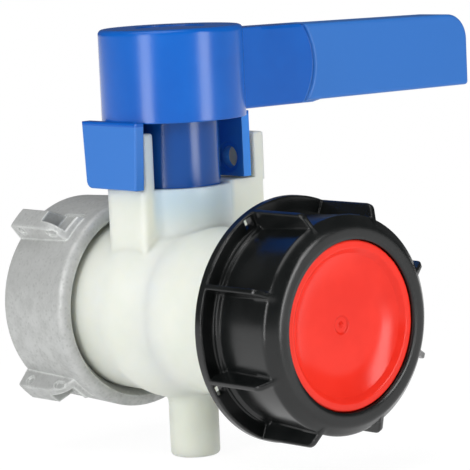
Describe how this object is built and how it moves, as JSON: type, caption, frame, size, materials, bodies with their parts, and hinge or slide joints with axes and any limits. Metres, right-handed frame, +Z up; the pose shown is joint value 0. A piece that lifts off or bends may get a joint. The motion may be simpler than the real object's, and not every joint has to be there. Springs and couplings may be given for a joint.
{
  "type": "ibc tank valve",
  "caption": "Plastic quarter-turn ball valve with a lever handle, a metal union nut at the tank side and a ribbed screw cap on the outlet.",
  "frame": {"origin": "centre of the union nut's open face, where the tank's threaded neck enters, on the flow axis", "axes": "+X along the flow from the tank to the cap, +Z up along the stem, +Y along the lever when the valve is closed"},
  "size_m": [0.1308, 0.1693, 0.1395],
  "materials": {
    "natural_plastic": "milky, slightly translucent, satin",
    "seat_plastic": "smooth, waxy",
    "ball_plastic": "polished",
    "blue_plastic": "satin moulded",
    "black_plastic": "satin moulded",
    "red_plastic": "satin moulded",
    "cast_aluminium": "as cast, lightly blasted",
    "spring_steel": "plain",
    "black_rubber": "matt",
    "grey_rubber": "matt"
  },
  "bodies": {
    "body": {"body_shell": "natural_plastic", "seat_retainer": "natural_plastic", "retainer_oring": "black_rubber", "inlet_seat": "seat_plastic", "inlet_seat_oring": "black_rubber", "outlet_seat": "seat_plastic", "outlet_seat_oring": "black_rubber", "stem_thrust_washer": "seat_plastic", "inlet_gasket": "grey_rubber", "nut_retaining_ring": "spring_steel"},
    "nut": {"union_nut": "cast_aluminium"},
    "handle": {"handle": "blue_plastic", "stem": "blue_plastic", "stem_oring": "black_rubber", "neck_oring": "black_rubber", "ball": "ball_plastic", "handle_screw": "spring_steel", "handle_screw_washer": "spring_steel", "hub_plug": "blue_plastic"},
    "cap_disc": {"cap_insert": "red_plastic", "cap_gasket": "grey_rubber"},
    "cap_ring": {"cap_ring": "black_plastic"}
  },
  "joints": [
    {"name": "nut_turn", "type": "hinge", "parent": "body", "child": "nut", "pos_m": [0.016, 0, 0], "axis": [1, 0, 0], "continuous": true},
    {"name": "handle_turn", "type": "hinge", "parent": "body", "child": "handle", "pos_m": [0.0515, 0, 0], "axis": [0, 0, -1], "range_deg": [0, 90]},
    {"name": "cap_travel", "type": "slide", "parent": "body", "child": "cap_disc", "axis": [1, 0, 0], "range_m": [0, 0.03]},
    {"name": "cap_turn", "type": "hinge", "parent": "cap_disc", "child": "cap_ring", "pos_m": [0.11, 0, 0], "axis": [1, 0, 0], "range_deg": [0, 1800]}
  ],
  "couplings": [
    {"joint": "cap_travel", "follows": "cap_turn", "m_per_rad": 0.00095493}
  ]
}
